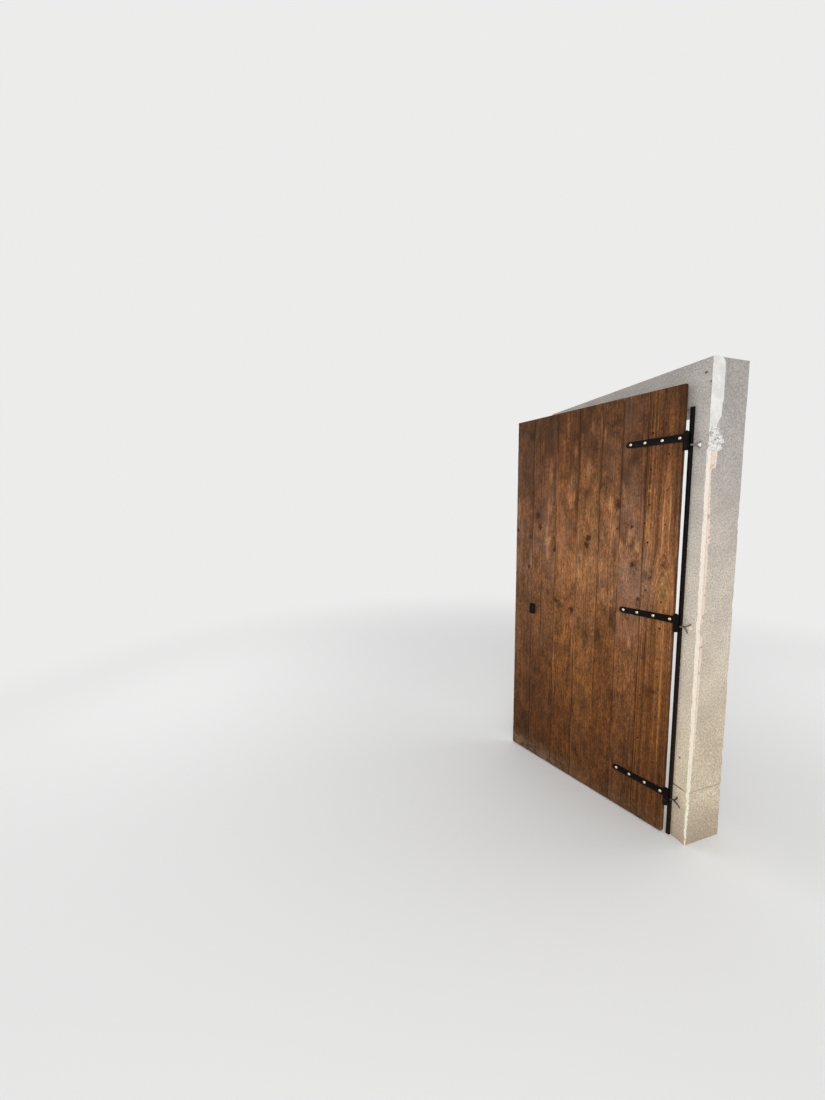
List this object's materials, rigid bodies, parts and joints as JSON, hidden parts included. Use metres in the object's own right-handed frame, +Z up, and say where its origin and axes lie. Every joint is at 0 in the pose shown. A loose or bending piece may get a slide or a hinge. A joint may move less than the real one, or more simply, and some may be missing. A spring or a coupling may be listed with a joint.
{
  "type": "plank door in a stone surround",
  "caption": "Ledged and braced plank door standing ajar on iron strap hinges, hung on a square iron bar against a plain stone door surround.",
  "frame": {"origin": "middle of the doorway on the floor, in the plane of the surround's room-side face", "axes": "+X towards the hinge side as seen from the room, +Y through the wall to the outdoors, +Z up"},
  "size_m": [1.062, 0.5117, 2.185],
  "materials": {
    "stone": "grey-beige, fine speckled and pitted, matt",
    "white_render": "smooth white lime render, matt",
    "cream_render": "thin cream and pinkish lime render, matt",
    "mortar": "broken lime mortar, rough",
    "black_iron": "black paint on iron, satin",
    "pale_metal": "dull zinc, worn",
    "dark_boards": "walnut-brown stain, semi-matt",
    "warm_boards": "orange-brown stain, semi-matt",
    "back_timber": "weathered brown stain, matt"
  },
  "bodies": {
    "surround": {"near_plinth": "stone", "far_plinth": "stone", "near_jamb": "stone", "far_jamb": "stone", "lintel": "stone", "near_head_render": "white_render", "near_mortar": "mortar", "near_side_render": "cream_render", "far_head_render": "white_render", "far_mortar": "mortar", "far_side_render": "cream_render", "hanging_post": "black_iron", "pintle_top": "black_iron", "pintle_middle": "black_iron", "pintle_bottom": "black_iron", "wall_tie_top": "pale_metal", "wall_tie_middle": "pale_metal", "wall_tie_bottom": "pale_metal", "lock_keeper": "black_iron"},
    "leaf": {"board_1": "dark_boards", "board_2": "dark_boards", "board_3_upper": "dark_boards", "board_3_lower": "dark_boards", "board_4": "dark_boards", "board_5_upper": "warm_boards", "board_5_lower": "warm_boards", "board_6": "warm_boards", "board_7": "warm_boards", "ledge_top": "back_timber", "ledge_middle": "back_timber", "ledge_bottom": "back_timber", "brace_upper": "back_timber", "brace_lower": "back_timber", "strap_top": "black_iron", "strap_middle": "black_iron", "strap_bottom": "black_iron", "keyhole_plate": "black_iron", "rim_lock": "black_iron"}
  },
  "joints": [
    {"name": "leaf_hinge", "type": "hinge", "parent": "surround", "child": "leaf", "pos_m": [0.449, -0.03525, 1.052], "axis": [0, 0, 1], "range_deg": [-16.3, 148.7]}
  ]
}
